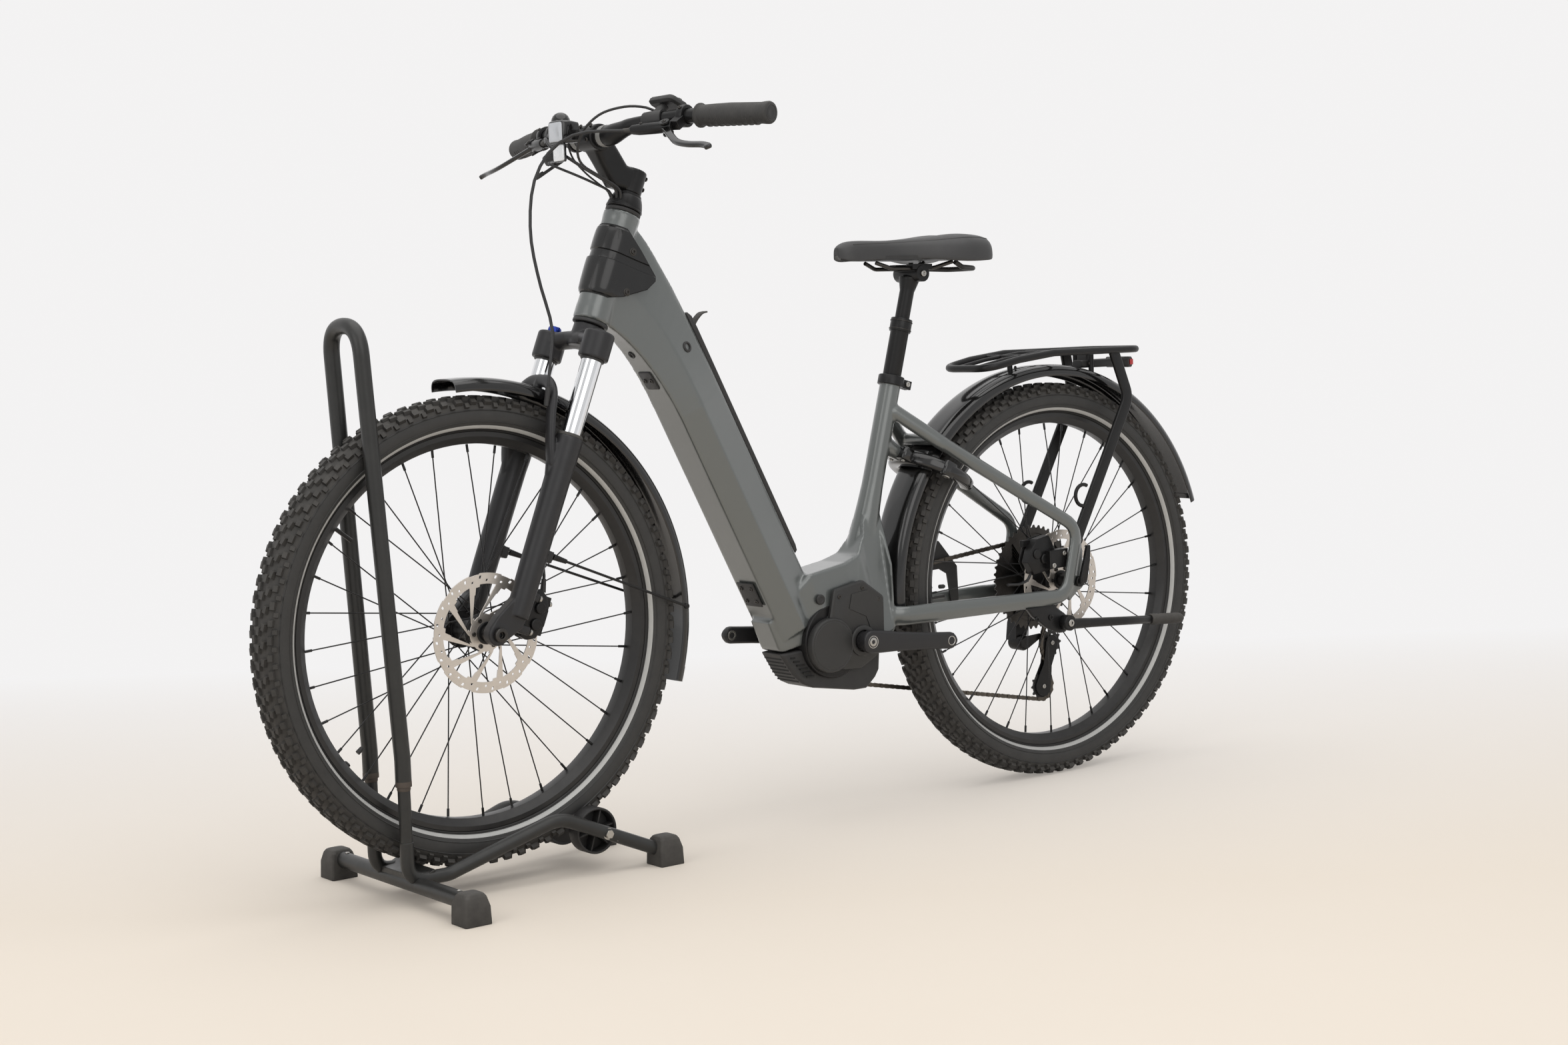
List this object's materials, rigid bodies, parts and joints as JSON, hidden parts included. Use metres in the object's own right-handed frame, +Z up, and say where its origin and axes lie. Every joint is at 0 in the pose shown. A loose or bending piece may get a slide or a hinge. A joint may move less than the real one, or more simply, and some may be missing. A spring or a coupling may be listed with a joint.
{
  "type": "bicycle on stand",
  "caption": "Low-step electric touring bicycle with rack and mudguards, held by its front wheel in a tubular floor stand.",
  "frame": {"origin": "on the floor, in the middle of the length, in the middle plane of the bicycle", "axes": "+X forward, +Y to the rider's left, +Z up"},
  "size_m": [1.9082, 0.7064, 1.1763],
  "materials": {
    "frame_paint": "satin paint",
    "black_metal": "satin black",
    "black_steel": "satin black paint",
    "chrome_tube": "polished",
    "steel_part": "brushed",
    "plastic_matte": "matte",
    "plastic_gloss": "glossy",
    "blue_plastic": "matte",
    "red_plastic": "glossy",
    "tyre_rubber": "matte",
    "soft_rubber": "matte"
  },
  "bodies": {
    "frame": {"frame": "frame_paint", "battery": "plastic_matte", "battery_cover": "plastic_matte", "head_cover": "plastic_matte", "drive_unit": "plastic_matte", "motor_covers": "plastic_matte", "frame_fittings": "black_metal", "seat_clamp": "black_metal", "seatpost_outer": "black_metal", "rear_caliper": "black_metal", "rear_brake_hose": "soft_rubber", "chain": "steel_part", "chain_guard": "plastic_gloss", "derailleur": "black_metal", "rear_mudguard": "plastic_gloss", "rear_rack": "black_metal", "tail_light": "red_plastic", "ring_lock": "plastic_matte"},
    "steering": {"fork_upper": "chrome_tube", "spacer_stack": "black_metal", "stem": "black_metal", "handlebar": "black_metal", "grips": "soft_rubber", "brake_bodies": "black_metal", "display": "plastic_matte", "headlight": "plastic_gloss", "bell": "black_metal", "shifter": "plastic_matte"},
    "fork_knob": {"fork_knob": "blue_plastic"},
    "lever_left": {"lever_left": "black_metal"},
    "lever_right": {"lever_right": "black_metal"},
    "shift_lever": {"shift_lever": "plastic_matte"},
    "fork_lower": {"fork_lower": "black_metal", "front_mudguard": "plastic_gloss", "front_caliper": "black_metal"},
    "front_wheel": {"front_tyre": "tyre_rubber", "front_rim": "black_metal", "front_spokes": "black_steel", "front_hub": "black_metal", "front_disc": "steel_part"},
    "stand": {"stand_tubes": "black_steel", "stand_hoop": "black_steel"},
    "cradle_discs": {"cradle_discs": "plastic_gloss"},
    "rear_wheel": {"rear_tyre": "tyre_rubber", "rear_rim": "black_metal", "rear_spokes": "black_steel", "rear_hub": "black_metal", "rear_disc": "steel_part"},
    "cassette": {"cassette": "black_metal"},
    "crankset": {"cranks": "black_metal", "chainring": "black_steel"},
    "guide_pulley": {"guide_pulley": "plastic_matte"},
    "tension_pulley": {"tension_pulley": "plastic_matte"},
    "kickstand": {"kickstand": "black_metal"},
    "rear_axle": {"rear_axle": "black_metal"},
    "lock_bolt": {"lock_bolt": "steel_part"},
    "seat": {"seatpost_inner": "black_metal", "saddle_rails": "black_steel", "saddle_base": "plastic_matte", "saddle_pad": "soft_rubber"}
  },
  "joints": [
    {"name": "steering_turn", "type": "hinge", "parent": "frame", "child": "steering", "pos_m": [0.36912, 0, 0.84027], "axis": [-0.3746, 0, 0.9272], "range_deg": [-50, 50]},
    {"name": "fork_travel", "type": "slide", "parent": "steering", "child": "fork_lower", "axis": [-0.3746, 0, 0.9272], "range_m": [0, 0.08], "stiffness_N_per_m": 9000, "springref_m": -0.03},
    {"name": "front_wheel_spin", "type": "hinge", "parent": "fork_lower", "child": "front_wheel", "pos_m": [0.60105, 0, 0.385], "axis": [0, 1, 0], "continuous": true},
    {"name": "rear_wheel_spin", "type": "hinge", "parent": "frame", "child": "rear_wheel", "pos_m": [-0.58695, 0, 0.353], "axis": [0, 1, 0], "continuous": true},
    {"name": "crank_turn", "type": "hinge", "parent": "frame", "child": "crankset", "pos_m": [-0.10695, 0, 0.297], "axis": [0, 1, 0], "continuous": true},
    {"name": "cassette_turn", "type": "hinge", "parent": "frame", "child": "cassette", "pos_m": [-0.58695, 0, 0.353], "axis": [0, 1, 0], "continuous": true},
    {"name": "guide_pulley_turn", "type": "hinge", "parent": "frame", "child": "guide_pulley", "pos_m": [-0.63895, 0, 0.226], "axis": [0, 1, 0], "continuous": true},
    {"name": "tension_pulley_turn", "type": "hinge", "parent": "frame", "child": "tension_pulley", "pos_m": [-0.61495, 0, 0.148], "axis": [0, 1, 0], "continuous": true},
    {"name": "kickstand_swing", "type": "hinge", "parent": "frame", "child": "kickstand", "pos_m": [-0.55095, 0, 0.283], "axis": [0, -1, 0], "range_deg": [0, 95]},
    {"name": "rear_axle_lever_turn", "type": "hinge", "parent": "frame", "child": "rear_axle", "pos_m": [-0.58695, 0, 0.353], "axis": [0, 1, 0], "range_deg": [-110, 110]},
    {"name": "lock_bolt_turn", "type": "hinge", "parent": "frame", "child": "lock_bolt", "pos_m": [-0.31895, 0, 0.561], "axis": [-0.4695, 0, 0.8829], "range_deg": [0, 18]},
    {"name": "seat_post_travel", "type": "slide", "parent": "frame", "child": "seat", "axis": [-0.2672, 0, 0.9636], "range_m": [-0.04, 0], "stiffness_N_per_m": 12000, "springref_m": 0.02},
    {"name": "left_brake_lever", "type": "hinge", "parent": "steering", "child": "lever_left", "pos_m": [0.34436, 0.18645, 1.12209], "axis": [0.5028, 0.1721, 0.8471], "range_deg": [0, 22], "stiffness_Nm_per_rad": 0.8, "springref_deg": -11.46},
    {"name": "right_brake_lever", "type": "hinge", "parent": "steering", "child": "lever_right", "pos_m": [0.34436, -0.18645, 1.12209], "axis": [-0.5028, 0.1721, -0.8471], "range_deg": [0, 22], "stiffness_Nm_per_rad": 0.8, "springref_deg": -11.46},
    {"name": "shift_lever_push", "type": "hinge", "parent": "steering", "child": "shift_lever", "pos_m": [0.32792, -0.15036, 1.10613], "axis": [-0.5028, 0.1721, -0.8471], "range_deg": [0, 25], "stiffness_Nm_per_rad": 0.3, "springref_deg": -17.19},
    {"name": "fork_knob_turn", "type": "hinge", "parent": "steering", "child": "fork_knob", "pos_m": [0.39526, -0.066, 0.82494], "axis": [-0.3746, 0, 0.9272], "range_deg": [0, 90]},
    {"name": "stand_pull", "type": "slide", "parent": "fork_lower", "child": "stand", "axis": [0.788, 0, -0.6157], "range_m": [0, 0.3]},
    {"name": "cradle_disc_spin", "type": "hinge", "parent": "stand", "child": "cradle_discs", "pos_m": [0.43305, 0, 0.062], "axis": [0, 1, 0], "continuous": true}
  ],
  "couplings": [
    {"joint": "cassette_turn", "follows": "crank_turn", "ratio": 1.1179},
    {"joint": "guide_pulley_turn", "follows": "crank_turn", "ratio": -3.1605},
    {"joint": "tension_pulley_turn", "follows": "crank_turn", "ratio": 3.1605}
  ]
}
